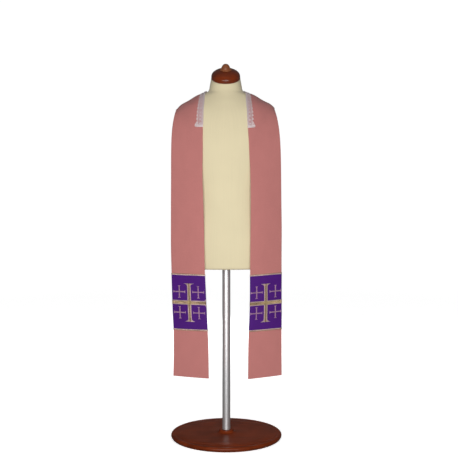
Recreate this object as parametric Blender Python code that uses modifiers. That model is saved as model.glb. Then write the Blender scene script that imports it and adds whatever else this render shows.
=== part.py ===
"""A clerical stole on a tailor's dress form.

Metres, +Z up, the front faces -Y, and the origin is the middle of the stand's underside. The dress form is a smooth
torso lofted through level rings. The stole is two halves, sewn together at the middle of the back. Each half
is a ribbon drawn through the ribs of DRAPE, which go from that seam over the shoulder and down to the hem, and
everything that is sewn on a half is made from the ribbon's own points, moved out.
"""

import bisect
import math

import bmesh
import bpy
from mathutils import Matrix, Vector

LEFT, RIGHT = -1, 1
WORDS = {LEFT: "left", RIGHT: "right"}

# ------------------------------------------------------------------ driving sizes
NECK_POINT = 1.43  # height of the shoulder's inner end, beside the neck

STAND_RADIUS = 0.23
BOSS_HEIGHT = 0.032  # the raised middle of the base, which the pole stands on
POLE_RADIUS = 0.0165

CLOTH = 0.0020  # wall of the stole: face, interlining and lining together
GAP = 0.0003  # between pieces that touch
CLEARANCE = 0.0014  # between the dress form and the stole that lies on it

HEM_TO_PANEL = 0.1898
PANEL_HEIGHT = 0.2319
PANEL_CLOTH = 0.0007
BRAID_WIDTH = 0.0072
BRAID_THICKNESS = 0.0012

CROSS_THICKNESS = 0.0010
CROSS_ARM_UP = 0.080
CROSS_BAR = 0.0170
CROSS_SERIF = 0.046
CROSS_FLARE = 0.011  # the length in which an arm sweeps out to its serif
CROSS_SWEEP = 2.6  # the power that it sweeps out by
CROSS_INSET = 0.001  # the side arms stop this far inside the cloth's edges
CROSSLET_ARM = 0.0250
CROSSLET_BAR = 0.0046
CROSSLET_SERIF = 0.0136
CROSSLET_FLARE = 0.0065
CROSSLET_ACROSS = 0.0400  # from the middle of the cross to the middle of a crosslet
CROSSLET_UP = 0.0420

# The lace is drawn in where it bends round the neck on the shoulders: its width at each rib, out from the back seam.
LACE_WIDTHS = {
    LEFT: (0.0302, 0.0298, 0.0262, 0.0195, 0.0262, 0.0302, 0.0302, 0.0302),
    RIGHT: (0.0302, 0.0290, 0.0240, 0.0175, 0.0242, 0.0268, 0.0270, 0.0270),
}
LACE_THICKNESS = 0.0008
LACE_GAP = 0.0009  # the lace bridges the small hollow beside the neck
LACE_LEFT_DROP = 0.1485  # how far below the neck point the lace ends
LACE_RIGHT_DROP = 0.1525
LACE_OVERHANG = 0.0012  # past the neck edge, which it covers
LACE_END = 0.020  # the length in which the lace turns from square across the ribbon to level
LACE_END_TURN = 0.10  # how far it turns, in ribs
SCALLOP_PITCH = 0.016
SCALLOP_DEPTH = 0.0068
LACE_CORNER = 0.0045  # how far the lace stands out at its lower corners, past its scallops
LACE_CORNER_LENGTH = 0.012

CAP_TILT = math.radians(25)
CAP_CENTRE_RISE = 0.0505  # the sloping cut at the neck's top, above the neck point
CAP_CENTRE_Y = -0.006
CAP_RADIUS = 0.0585
CAP_RIM = 0.010
CAP_DOME = 0.0285
NECK_LEAN = 0.0022  # how far the neck stands to the left of the pole's axis

# The base's side, from the boss out to the rim and under it: radius, and height above the floor.
STAND_PROFILE = [
    (0.0000, BOSS_HEIGHT),
    (0.0280, BOSS_HEIGHT),
    (0.0310, BOSS_HEIGHT - 0.0020),
    (0.0340, BOSS_HEIGHT - 0.0090),
    (0.0420, BOSS_HEIGHT - 0.0120),
    (STAND_RADIUS - 0.0080, 0.0180),
    (STAND_RADIUS - 0.0025, 0.0155),
    (STAND_RADIUS, 0.0100),
    (STAND_RADIUS - 0.0020, 0.0035),
    (STAND_RADIUS - 0.0060, 0.0000),
    (0.0000, 0.0000),
]

# The knob's side, from its tip down: radius, and height above the top of the cap's dome.
KNOB_PROFILE = [
    (0.0000, 0.0229),
    (0.0050, 0.0222),
    (0.0090, 0.0204),
    (0.0128, 0.0167),
    (0.0154, 0.0124),
    (0.0173, 0.0083),
    (0.0191, 0.0046),
    (0.0213, 0.0018),
    (0.0242, -0.0002),
]

FORM_SEGMENTS = 40
FORM_CHEST = -0.15  # the form has finer rings above this rise

# The dress form's level rings, from the neck down. Rise is measured from the neck point. Front and back are the
# depths before and behind the pole's axis, and squareness is the exponent of the ring's superellipse.
FORM_COLUMNS = ("rise", "half_width", "front", "back", "squareness")
FORM = [
    (0.100, 0.0572, 0.066, 0.047, 2.00),
    (0.053, 0.0592, 0.064, 0.052, 2.00),
    (0.020, 0.0652, 0.063, 0.062, 2.00),
    (0.005, 0.0682, 0.064, 0.070, 1.95),
    (-0.005, 0.0772, 0.067, 0.077, 1.80),
    (-0.020, 0.1150, 0.073, 0.087, 1.62),
    (-0.040, 0.1492, 0.083, 0.098, 1.60),
    (-0.060, 0.1840, 0.091, 0.106, 1.66),
    (-0.078, 0.1985, 0.098, 0.111, 1.76),
    (-0.098, 0.2020, 0.104, 0.116, 1.88),
    (-0.125, 0.2030, 0.110, 0.119, 2.02),
    (-0.160, 0.1995, 0.117, 0.120, 2.12),
    (-0.200, 0.1910, 0.122, 0.118, 2.25),
    (-0.250, 0.1790, 0.124, 0.112, 2.35),
    (-0.320, 0.1680, 0.120, 0.101, 2.35),
    (-0.400, 0.1570, 0.114, 0.091, 2.30),
    (-0.460, 0.1560, 0.112, 0.090, 2.30),
    (-0.530, 0.1660, 0.114, 0.100, 2.30),
    (-0.600, 0.1780, 0.115, 0.113, 2.30),
    (-0.660, 0.1810, 0.112, 0.115, 2.35),
    (-0.720, 0.1770, 0.107, 0.110, 2.40),
]

# The ribs of the stole, each from the neck edge to the outer edge of both halves. X is measured outward from the
# middle, y is the row's own, rise is from the neck point, and bow is how far the middle of a rib stands out in front.
# Right_tilt is how much further the right half's rib rises outward than the left half's.
DRAPE_COLUMNS = (
    "left_inner_x", "left_outer_x", "right_inner_x", "right_outer_x",
    "inner_y", "inner_rise", "outer_y", "outer_rise", "bow", "right_tilt",
)
DRAPE = {
    "back seam": (0.0000, 0.0000, 0.0000, 0.0000, 0.0930, -0.032, 0.1215, -0.160, 0, 0),
    "back": (0.0450, 0.0810, 0.0430, 0.0790, 0.0790, -0.026, 0.1130, -0.130, 0, 0),
    "behind shoulder": (0.0720, 0.1520, 0.0670, 0.1480, 0.0480, -0.012, 0.0790, -0.096, 0, 0),
    "shoulder": (0.0810, 0.1965, 0.0715, 0.1870, 0.0060, -0.001, 0.0050, -0.074, 0, 0),
    "below shoulder": (0.0832, 0.2060, 0.0742, 0.1990, -0.0400, -0.028, -0.0340, -0.090, 0.001, 0),
    "collarbone": (0.0895, 0.2140, 0.0808, 0.2081, -0.0800, -0.080, -0.0570, -0.130, 0.002, 0),
    "upper chest": (0.0925, 0.2191, 0.0853, 0.2145, -0.1045, -0.150, -0.0680, -0.182, 0.002, 0),
    "chest": (0.0928, 0.2211, 0.0902, 0.2185, -0.1135, -0.230, -0.0715, -0.250, 0.002, 0),
    "ribs": (0.0938, 0.2218, 0.0960, 0.2205, -0.1155, -0.350, -0.0720, -0.358, 0.003, 0.001),
    "waist": (0.0888, 0.2224, 0.0970, 0.2222, -0.1150, -0.520, -0.0710, -0.523, 0.004, 0.003),
    "hip": (0.0858, 0.2222, 0.0952, 0.2230, -0.1145, -0.690, -0.0710, -0.690, 0.004, 0.005),
    "panel": (0.0798, 0.2168, 0.0943, 0.2232, -0.1150, -0.860, -0.0740, -0.860, 0.004, 0.0055),
    "below panel": (0.0720, 0.2122, 0.0886, 0.2238, -0.1160, -1.010, -0.0790, -1.010, 0.003, 0.0055),
    "hem": (0.0697, 0.2150, 0.0872, 0.2250, -0.1165, -1.1585, -0.0840, -1.1545, 0.003, 0.0055),
}
RIB_STEPS = (5, 5, 7, 7, 5, 4, 2, 2, 2, 3, 4, 4, 3)  # rows of the wall between one rib and the next
ACROSS = (0, 0.07, 0.14, 0.21, 0.35, 0.50, 0.65, 0.82, 1)  # columns of the wall, closer together under the lace
LENGTH_STEPS = 16  # finer steps, for measuring along the ribbon
EDGE_STEPS = 400  # the same, for the neck edge
FRONT_RIBS = (3, 8)  # the ribs in front between which the lace ends
SCALLOP_ROWS = 3


# ------------------------------------------------------------------ smooth curves through tables
def hermite(knots, values, at, level_start=False):
    """The smooth curve through values at the knots, which may be unevenly spaced, read at one place."""
    last = len(knots) - 1
    i = min(max(bisect.bisect_right(knots, at) - 1, 0), last - 1)

    def slope(k):
        if k == 0 and level_start:
            return 0.0
        low, high = max(k - 1, 0), min(k + 1, last)
        return (values[high] - values[low]) / (knots[high] - knots[low])

    width = knots[i + 1] - knots[i]
    u = (at - knots[i]) / width
    start = values[i] * (2 * u**3 - 3 * u**2 + 1) + slope(i) * width * (u**3 - 2 * u**2 + u)
    return start + values[i + 1] * (3 * u**2 - 2 * u**3) + slope(i + 1) * width * (u**3 - u**2)


def column(rows, names, name):
    return [row[names.index(name)] for row in rows]


FORM_UPWARD = FORM[::-1]
FORM_KNOTS = column(FORM_UPWARD, FORM_COLUMNS, "rise")
FORM_VALUES = {name: column(FORM_UPWARD, FORM_COLUMNS, name) for name in FORM_COLUMNS[1:]}
DRAPE_ROWS = list(DRAPE.values())
DRAPE_KNOTS = list(range(len(DRAPE_ROWS)))
DRAPE_VALUES = {name: column(DRAPE_ROWS, DRAPE_COLUMNS, name) for name in DRAPE_COLUMNS}


# ------------------------------------------------------------------ the dress form's surface
def form_size(rise, name):
    return hermite(FORM_KNOTS, FORM_VALUES[name], min(max(rise, FORM_KNOTS[0]), FORM_KNOTS[-1]))


def form_middle(rise):
    """The x of the form's middle: the neck's, and below it the torso's, which is on the pole's axis."""
    return -NECK_LEAN * min(max((rise + 0.080) / 0.050, 0.0), 1.0)


def form_level(point):
    """Below 1 inside the dress form, 1 on its surface and above 1 outside."""
    rise = point.z - NECK_POINT
    n = form_size(rise, "squareness")
    depth = form_size(rise, "front" if point.y < 0 else "back")
    x_share = abs(point.x - form_middle(rise)) / form_size(rise, "half_width")
    return (x_share**n + (abs(point.y) / depth) ** n) ** (1 / n)


def clear_of_form(point):
    """The point itself, or where it comes to rest when it is pushed out of the dress form."""
    step = 0.0005
    for _ in range(8):
        slope = Vector(
            (form_level(point + axis * step) - form_level(point - axis * step)) / (2 * step)
            for axis in (Vector((1, 0, 0)), Vector((0, 1, 0)), Vector((0, 0, 1)))
        )
        short = CLEARANCE - (form_level(point) - 1) / slope.length
        if short <= 0:
            break
        point = point + slope.normalized() * short
    return point


# ------------------------------------------------------------------ the stole's surface
def ribbon_point(side, rib, across):
    """A point of the stole's underside: rib counts along DRAPE, and across is 0 at the neck edge and 1 outside."""
    word = WORDS[side]

    def size(name):
        # Seen from above, the halves meet at the seam without a corner.
        return hermite(DRAPE_KNOTS, DRAPE_VALUES[name], rib, level_start=name.endswith("_y"))

    tilt = size("right_tilt") / 2 if side == RIGHT else 0.0
    inner_z = NECK_POINT + size("inner_rise") - tilt
    outer_z = NECK_POINT + size("outer_rise") + tilt
    inner = Vector((side * size(f"{word}_inner_x"), size("inner_y"), inner_z))
    outer = Vector((side * size(f"{word}_outer_x"), size("outer_y"), outer_z))
    point = inner.lerp(outer, across)
    point.y -= size("bow") * 4 * across * (1 - across)
    point = clear_of_form(point)
    if rib == 0:
        point.x = side * GAP / 2
    return point


def ribbon_normal(side, rib, across):
    """The direction out of the stole's face."""
    step = 0.02
    low, high = max(rib - step, 0), min(rib + step, len(DRAPE_ROWS) - 1)
    along = ribbon_point(side, high, across) - ribbon_point(side, low, across)
    left, right = max(across - step, 0), min(across + step, 1)
    sideways = ribbon_point(side, rib, right) - ribbon_point(side, rib, left)
    return (sideways.cross(along) * -side).normalized()


def lifted(side, rib, across, lift):
    """A point above the stole's underside, at right angles to it."""
    return ribbon_point(side, rib, across) + ribbon_normal(side, rib, across) * lift


def measure_ribbon(side, across):
    """Ribs in fine steps from the hem up, with the distance from the hem to each along one line of the ribbon."""
    steps = (len(DRAPE_ROWS) - 1) * LENGTH_STEPS
    ribs = [k / LENGTH_STEPS for k in range(steps, -1, -1)]
    points = [ribbon_point(side, rib, across) for rib in ribs]
    lengths = [0.0]
    for a, b in zip(points, points[1:]):
        lengths.append(lengths[-1] + (b - a).length)
    return ribs, lengths


RIBBONS = {side: measure_ribbon(side, 0.5) for side in (LEFT, RIGHT)}


def rib_at(side, up):
    """The rib that crosses the ribbon's middle at this distance from the hem."""
    ribs, lengths = RIBBONS[side]
    i = min(max(bisect.bisect_right(lengths, up) - 1, 0), len(lengths) - 2)
    share = (up - lengths[i]) / (lengths[i + 1] - lengths[i])
    return ribs[i] + (ribs[i + 1] - ribs[i]) * share


def width_at(side, rib):
    return (ribbon_point(side, rib, 1) - ribbon_point(side, rib, 0)).length


# ------------------------------------------------------------------ building blocks
def finish(name, roughness, color, metallic=0.0):
    """A material with a plain Principled BSDF."""
    material = bpy.data.materials.new(name)
    material.use_nodes = True
    shader = material.node_tree.nodes["Principled BSDF"]
    shader.inputs["Base Color"].default_value = (*color, 1)
    shader.inputs["Roughness"].default_value = roughness
    shader.inputs["Metallic"].default_value = metallic
    material.diffuse_color = (*color, 1)
    return material


def add(name, bm, material, smooth=True):
    """One named object from a bmesh, in the part's collection."""
    mesh = bpy.data.meshes.new(name)
    bm.to_mesh(mesh)
    bm.free()
    if smooth:
        mesh.shade_smooth()
        mesh.set_sharp_from_angle(angle=math.radians(40))
    mesh.materials.append(material)
    obj = bpy.data.objects.new(name, mesh)
    PART.objects.link(obj)
    return obj


def grid(bm, rows, columns, place):
    """A grid primitive whose corners are moved to place(row, column)."""
    made = bmesh.ops.create_grid(bm, x_segments=len(columns) - 1, y_segments=len(rows) - 1, size=1)
    for vert in made["verts"]:
        i = round((vert.co.y + 1) / 2 * (len(rows) - 1))
        j = round((vert.co.x + 1) / 2 * (len(columns) - 1))
        vert.co = place(rows[i], columns[j])


def face_outward(bm):
    """Turns an open sheet's faces away from the pole's axis."""
    bmesh.ops.recalc_face_normals(bm, faces=bm.faces)
    bm.faces.ensure_lookup_table()
    first = bm.faces[0]
    centre = first.calc_center_median()
    if first.normal.dot(Vector((centre.x, centre.y, 0))) < 0:
        bmesh.ops.reverse_faces(bm, faces=bm.faces)


def thicken(obj, thickness):
    """Grows an open sheet into a wall on the side that its faces look to."""
    wall = obj.modifiers.new("wall", "SOLIDIFY")
    wall.thickness = thickness
    wall.offset = 1
    wall.use_even_offset = True


def even(start, end, steps):
    return [start + (end - start) * k / steps for k in range(steps + 1)]


# ------------------------------------------------------------------ the dress form
def make_form(material):
    """The torso and neck: level rings, closed at the bottom, with the neck's top cut off on a slope."""
    bm = bmesh.new()
    rises = []
    for low, high in zip(FORM_KNOTS, FORM_KNOTS[1:]):
        rises += even(low, high, 1 if high < FORM_CHEST else 2)[:-1]
    rises.append(FORM_KNOTS[-1])

    def ring_point(rise, turn):
        n = form_size(rise, "squareness")
        c, s = math.cos(turn), math.sin(turn)
        depth = form_size(rise, "front" if s < 0 else "back")
        x = math.copysign(abs(c) ** (2 / n), c) * form_size(rise, "half_width") + form_middle(rise)
        y = math.copysign(abs(s) ** (2 / n), s) * depth
        return Vector((x, y, rise + NECK_POINT))

    grid(bm, rises, even(0, 2 * math.pi, FORM_SEGMENTS), ring_point)
    bmesh.ops.remove_doubles(bm, verts=bm.verts, dist=1e-6)
    bmesh.ops.holes_fill(bm, edges=bm.edges, sides=0)
    bmesh.ops.recalc_face_normals(bm, faces=bm.faces)
    cut = bmesh.ops.bisect_plane(
        bm,
        geom=bm.verts[:] + bm.edges[:] + bm.faces[:],
        plane_co=cap_centre(),
        plane_no=cap_turn() @ Vector((0, 0, 1)),
        clear_outer=True,
    )
    rim = [e for e in cut["geom_cut"] if isinstance(e, bmesh.types.BMEdge)]
    bmesh.ops.edgeloop_fill(bm, edges=rim)
    bmesh.ops.recalc_face_normals(bm, faces=bm.faces)
    return add("form_body", bm, material)


def cap_centre():
    return Vector((-NECK_LEAN, CAP_CENTRE_Y, NECK_POINT + CAP_CENTRE_RISE))


def cap_turn():
    return Matrix.Rotation(CAP_TILT, 3, "X")


def turned(name, profile, material, segments):
    """A solid of revolution about Z: the profile is (radius, height) down its outer side, closed on the axis."""
    bm = bmesh.new()
    verts = [bm.verts.new((radius, 0, height)) for radius, height in profile]
    for a, b in zip(verts, verts[1:]):
        bm.edges.new((a, b))
    obj = add(name, bm, material, smooth=False)
    screw = obj.modifiers.new("turn", "SCREW")
    screw.steps = screw.render_steps = segments
    screw.use_merge_vertices = True
    screw.merge_threshold = 0.00001
    return obj


def make_neck_cap(material):
    """The oval wooden cap that closes the sloping neck: a low dome on a short upright rim."""
    profile = [(0, GAP + CAP_RIM + CAP_DOME)]
    for turn in even(0, math.pi / 2, 9)[1:]:
        profile.append((CAP_RADIUS * math.sin(turn), GAP + CAP_RIM + CAP_DOME * math.cos(turn)))
    profile += [(CAP_RADIUS - 0.0005, GAP + 0.0010), (CAP_RADIUS - 0.0015, GAP), (0, GAP)]
    cap = turned("neck_cap", profile, material, segments=32)
    cap.location = cap_centre()
    cap.rotation_euler = (CAP_TILT, 0, 0)
    cap.scale = (1, 1 / math.cos(CAP_TILT), 1)
    return cap


def make_knob(material):
    """The bell-shaped knob on the cap, its foot hollowed to the dome that it sits on."""
    top = GAP * 2 + CAP_RIM + CAP_DOME

    def dome_fall(radius):
        """How far the dome falls from its top along its longer axis, where it falls least."""
        return CAP_DOME * (1 - math.sqrt(1 - (radius * math.cos(CAP_TILT) / CAP_RADIUS) ** 2))

    outside = [(radius, top + height) for radius, height in KNOB_PROFILE]
    foot = [(radius, top - dome_fall(radius)) for radius in (0.0240, 0.0120, 0.0)]
    knob = turned("cap_knob", outside + foot, material, segments=24)
    knob.location = cap_centre()
    knob.rotation_euler = (CAP_TILT, 0, 0)
    return knob


def cylinder(name, radius, low, high, material, segments):
    bm = bmesh.new()
    bmesh.ops.create_cone(
        bm, cap_ends=True, segments=segments, radius1=radius, radius2=radius, depth=high - low
    )
    obj = add(name, bm, material)
    obj.location.z = (low + high) / 2
    return obj


def make_stand(wood, steel):
    turned("stand_base", STAND_PROFILE, wood, segments=56)
    form_bottom = NECK_POINT + FORM_KNOTS[0]
    cylinder("stand_pole", POLE_RADIUS, BOSS_HEIGHT + GAP, form_bottom - GAP, steel, 24)


# ------------------------------------------------------------------ the stole
def make_half(side, name, material):
    """Half of the stole, in one piece from the seam at the back to the hem."""
    ribs = [0.0]
    for rib, steps in enumerate(RIB_STEPS):
        ribs += even(rib, rib + 1, steps)[1:]
    bm = bmesh.new()
    grid(bm, ribs, ACROSS, lambda rib, across: ribbon_point(side, rib, across))
    face_outward(bm)
    obj = add(name, bm, material)
    thicken(obj, CLOTH)
    return obj


def lay_sheet(name, side, ups, shares, lift, thickness, material):
    """A strip of cloth that lies on a half: ups are distances from the hem, and shares go across from 0 to 1."""
    bm = bmesh.new()
    grid(bm, ups, shares, lambda up, share: lifted(side, rib_at(side, up), share, lift))
    face_outward(bm)
    obj = add(name, bm, material)
    thicken(obj, thickness)
    return obj


def make_panel(side, word, purple, gold):
    """The purple panel across one end, between two lines of gold braid."""
    low, high = HEM_TO_PANEL, HEM_TO_PANEL + PANEL_HEIGHT
    on_cloth = CLOTH + GAP
    inside = BRAID_WIDTH + GAP
    lay_sheet(f"panel_{word}", side, even(low + inside, high - inside, 6), ACROSS, on_cloth, PANEL_CLOTH, purple)
    for place, start in (("bottom", low), ("top", high - BRAID_WIDTH)):
        ups = even(start, start + BRAID_WIDTH, 1)
        lay_sheet(f"braid_{word}_{place}", side, ups, ACROSS, on_cloth, BRAID_THICKNESS, gold)


def arm_stations(start, length, flare, straight_steps):
    """Places along a cross's arm: wide steps on the bar and short ones where it sweeps out."""
    return even(start, length - flare, straight_steps) + even(length - flare, length, 3)[1:]


def make_cross(name, side, up, across, arms, bar, serif, flare, straight_steps, material):
    """A cross of gold thread lying on a panel. Arms gives each arm's length, and whether it ends in a serif."""
    base = rib_at(side, up)
    width = width_at(side, base)
    lift = CLOTH + GAP + PANEL_CLOTH + GAP
    half = bar / 2

    def half_width(along, length, has_serif):
        sweep = max(0.0, along - (length - flare)) / flare
        return half + (serif / 2 - half) * sweep**CROSS_SWEEP * has_serif

    def on_panel(u, v):
        return lifted(side, rib_at(side, up + v), across + u / width, lift)

    bm = bmesh.new()
    grid(bm, even(-half, half, 2), even(-half, half, 2), lambda v, u: on_panel(u, v))
    for (x, y), (length, has_serif) in arms.items():
        stations = arm_stations(half, length, flare, straight_steps)

        def place(along, share, x=x, y=y, length=length, has_serif=has_serif):
            out = share * half_width(along, length, has_serif)
            return on_panel(x * along + y * out, y * along + x * out)

        grid(bm, stations, even(-1, 1, 2), place)
    bmesh.ops.remove_doubles(bm, verts=bm.verts, dist=1e-5)
    face_outward(bm)
    obj = add(name, bm, material)
    thicken(obj, CROSS_THICKNESS)


def make_crosses(side, word, gold):
    """A large cross with a crosslet in each quarter. Its side arms run to the cloth's edges and are turned under
    there, all but the inner one of the left half, whose serif shows."""
    up = HEM_TO_PANEL + PANEL_HEIGHT / 2
    width = width_at(side, rib_at(side, up))
    reach = width / 2 - CROSS_INSET
    inner_serif = side == LEFT
    arms = {
        (0, 1): (CROSS_ARM_UP, True),
        (0, -1): (CROSS_ARM_UP, True),
        (1, 0): (reach, False),
        (-1, 0): (reach, inner_serif),
    }
    make_cross(f"cross_{word}", side, up, 0.5, arms, CROSS_BAR, CROSS_SERIF, CROSS_FLARE, 5, gold)
    small_arms = {turn: (CROSSLET_ARM, True) for turn in ((0, 1), (0, -1), (1, 0), (-1, 0))}
    for number, (x, y) in enumerate(((-1, 1), (1, 1), (-1, -1), (1, -1)), start=1):
        make_cross(
            f"crosslet_{word}_{number}",
            side,
            up + y * CROSSLET_UP,
            0.5 + x * CROSSLET_ACROSS / width,
            small_arms,
            CROSSLET_BAR,
            CROSSLET_SERIF,
            CROSSLET_FLARE,
            1,
            gold,
        )


def make_lace(material):
    """The scalloped lace that is tacked along the neck edge, in one strip round the back of the neck."""
    lift = CLOTH + LACE_GAP
    rows = {
        side: edge_rows(side, rib_of_drop(side, drop))
        for side, drop in ((LEFT, LACE_LEFT_DROP), (RIGHT, LACE_RIGHT_DROP))
    }
    strip_length = {side: rows[side][0][2] for side in rows}
    strip = rows[LEFT] + rows[RIGHT][::-1][1:]
    bm = bmesh.new()

    def place(row, share):
        side, rib, length = row
        wave = math.sin(math.pi * length / SCALLOP_PITCH) ** 2
        corner = max(0.0, 1 - (strip_length[side] - length) / LACE_CORNER_LENGTH)
        widths = LACE_WIDTHS[side]
        width = hermite(DRAPE_KNOTS[: len(widths)], widths, rib)
        width += LACE_CORNER * math.sin(math.pi * corner) - SCALLOP_DEPTH * (1 - wave)
        across = (share * width - LACE_OVERHANG) / width_at(side, rib)
        to_end = min(1.0, (strip_length[side] - length) / LACE_END)
        point = lifted(side, rib - LACE_END_TURN * share * (1 - to_end), across, lift)
        if rib == 0:
            point.x = 0
        return point

    grid(bm, strip, even(0, 1, 3), place)
    face_outward(bm)
    obj = add("lace_collar", bm, material)
    thicken(obj, LACE_THICKNESS)
    return obj


def rib_of_drop(side, drop):
    """The rib whose neck edge lies this far below the neck point, in front."""
    low, high = FRONT_RIBS
    for _ in range(30):
        middle = (low + high) / 2
        if ribbon_point(side, middle, 0).z > NECK_POINT - drop:
            low = middle
        else:
            high = middle
    return low


def edge_rows(side, front_rib):
    """Rows along the neck edge from the front end to the seam: side, rib, and distance from the seam."""
    fine = even(0, front_rib, EDGE_STEPS)
    points = [ribbon_point(side, rib, 0) for rib in fine]
    lengths = [0.0]
    for a, b in zip(points, points[1:]):
        lengths.append(lengths[-1] + (b - a).length)
    steps = round(lengths[-1] / SCALLOP_PITCH) * SCALLOP_ROWS
    rows = []
    for target in even(0, lengths[-1], steps):
        i = min(max(bisect.bisect_right(lengths, target) - 1, 0), len(fine) - 2)
        share = (target - lengths[i]) / (lengths[i + 1] - lengths[i])
        rows.append((side, fine[i] + (fine[i + 1] - fine[i]) * share, target))
    return rows[::-1]


def clear_scene():
    for obj in list(bpy.data.objects):
        bpy.data.objects.remove(obj)


def main():
    rose = finish("rose cloth", 0.75, (0.50, 0.20, 0.18))
    purple = finish("purple cloth", 0.6, (0.080, 0.012, 0.19))
    gold = finish("gold thread", 0.4, (0.52, 0.38, 0.14), metallic=0.6)
    lace = finish("white lace", 0.8, (0.80, 0.75, 0.74))
    jersey = finish("cream jersey", 0.85, (0.68, 0.58, 0.38))
    wood = finish("stained wood", 0.25, (0.16, 0.035, 0.012))
    knob_wood = finish("knob wood", 0.25, (0.30, 0.10, 0.035))
    steel = finish("pole steel", 0.35, (0.55, 0.55, 0.56), metallic=1.0)

    make_stand(wood, steel)
    make_form(jersey)
    make_neck_cap(wood)
    make_knob(knob_wood)
    for side, word in WORDS.items():
        make_half(side, f"stole_{word}", rose)
        make_panel(side, word, purple, gold)
        make_crosses(side, word, gold)
    make_lace(lace)


clear_scene()
PART = bpy.data.collections.new("stole on dress form")
bpy.context.scene.collection.children.link(PART)
main()
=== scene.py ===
"""The looks of a clerical stole on a tailor's dress form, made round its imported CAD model.

Metres, +Z up, the front faces -Y. Cloth, embroidery and lace all lie on one surface: the underside of each
half of the stole, which is drawn through the same ribs as the CAD's. A place on a half is its rib, its
distance out from the neck edge along the face, and its lift above the face. Past an edge, out goes round it
and on across the back.
"""
import math
from functools import partialmethod

import bmesh
import bpy
import numpy as np
from mathutils import Matrix, Vector


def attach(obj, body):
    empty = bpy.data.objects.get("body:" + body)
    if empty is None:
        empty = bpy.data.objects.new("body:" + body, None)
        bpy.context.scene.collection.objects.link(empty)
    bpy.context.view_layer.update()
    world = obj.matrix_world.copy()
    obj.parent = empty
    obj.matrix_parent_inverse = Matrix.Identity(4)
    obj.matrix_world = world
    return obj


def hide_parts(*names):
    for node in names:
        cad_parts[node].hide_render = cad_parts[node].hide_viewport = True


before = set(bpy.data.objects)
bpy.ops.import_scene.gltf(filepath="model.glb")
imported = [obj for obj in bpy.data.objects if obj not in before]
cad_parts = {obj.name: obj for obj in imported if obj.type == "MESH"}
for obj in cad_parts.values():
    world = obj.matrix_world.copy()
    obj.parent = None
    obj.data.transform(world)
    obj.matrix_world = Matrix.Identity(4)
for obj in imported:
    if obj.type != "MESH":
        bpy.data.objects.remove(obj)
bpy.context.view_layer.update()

LEFT, RIGHT = -1, 1
WORDS = {LEFT: "left", RIGHT: "right"}

# -------- sizes shared with the CAD
NECK_POINT = 1.43  # height of the shoulder's inner end, beside the neck
CLOTH = 0.0020
GAP = 0.0003
CLEARANCE = 0.0014
HEM_TO_PANEL = 0.1898
PANEL_HEIGHT = 0.2319
PANEL_CLOTH = 0.0007
BRAID_WIDTH = 0.0072
LACE_WIDTH = 0.0302
LACE_WIDTHS = {  # at each rib, out from the back seam
    LEFT: (0.0302, 0.0298, 0.0262, 0.0195, 0.0262, 0.0302, 0.0302, 0.0302),
    RIGHT: (0.0302, 0.0290, 0.0240, 0.0175, 0.0242, 0.0268, 0.0270, 0.0270),
}
LACE_OVERHANG = 0.0012
LACE_DROP = {LEFT: 0.1485, RIGHT: 0.1525}  # how far below the neck point each end of the lace is
LACE_END = 0.020
LACE_END_TURN = 0.10
SCALLOP_PITCH = 0.016
SCALLOP_DEPTH = 0.0068
CAP_TILT = math.radians(25)
NECK_LEAN = 0.0022
LEAN_FROM, LEAN_OVER = -0.080, 0.050  # where the lean begins, and how far up it is whole
CAP_CENTRE = Vector((-NECK_LEAN, -0.006, NECK_POINT + 0.0505))
CAP_PLACE = Matrix.Translation(CAP_CENTRE) @ Matrix.Rotation(CAP_TILT, 4, "X")
CAP_RADIUS = 0.0585
CAP_RIM = 0.010
CAP_DOME = 0.0285
KNOB_PROFILE = [  # radius, and height above the dome
    (0.0000, 0.0229), (0.0028, 0.0227), (0.0050, 0.0222), (0.0090, 0.0204), (0.0128, 0.0167),
    (0.0154, 0.0124), (0.0173, 0.0083), (0.0191, 0.0046), (0.0213, 0.0018), (0.0242, -0.0002),
]
STAND_RADIUS = 0.23
BOSS_HEIGHT = 0.032
POLE_RADIUS = 0.0165

FORM_COLUMNS = ("rise", "half_width", "front", "back", "squareness")
FORM = [
    (0.100, 0.0572, 0.066, 0.047, 2.00),
    (0.053, 0.0592, 0.064, 0.052, 2.00),
    (0.020, 0.0652, 0.063, 0.062, 2.00),
    (0.005, 0.0682, 0.064, 0.070, 1.95),
    (-0.005, 0.0772, 0.067, 0.077, 1.80),
    (-0.020, 0.1150, 0.073, 0.087, 1.62),
    (-0.040, 0.1492, 0.083, 0.098, 1.60),
    (-0.060, 0.1840, 0.091, 0.106, 1.66),
    (-0.078, 0.1985, 0.098, 0.111, 1.76),
    (-0.098, 0.2020, 0.104, 0.116, 1.88),
    (-0.125, 0.2030, 0.110, 0.119, 2.02),
    (-0.160, 0.1995, 0.117, 0.120, 2.12),
    (-0.200, 0.1910, 0.122, 0.118, 2.25),
    (-0.250, 0.1790, 0.124, 0.112, 2.35),
    (-0.320, 0.1680, 0.120, 0.101, 2.35),
    (-0.400, 0.1570, 0.114, 0.091, 2.30),
    (-0.460, 0.1560, 0.112, 0.090, 2.30),
    (-0.530, 0.1660, 0.114, 0.100, 2.30),
    (-0.600, 0.1780, 0.115, 0.113, 2.30),
    (-0.660, 0.1810, 0.112, 0.115, 2.35),
    (-0.720, 0.1770, 0.107, 0.110, 2.40),
]

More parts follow.
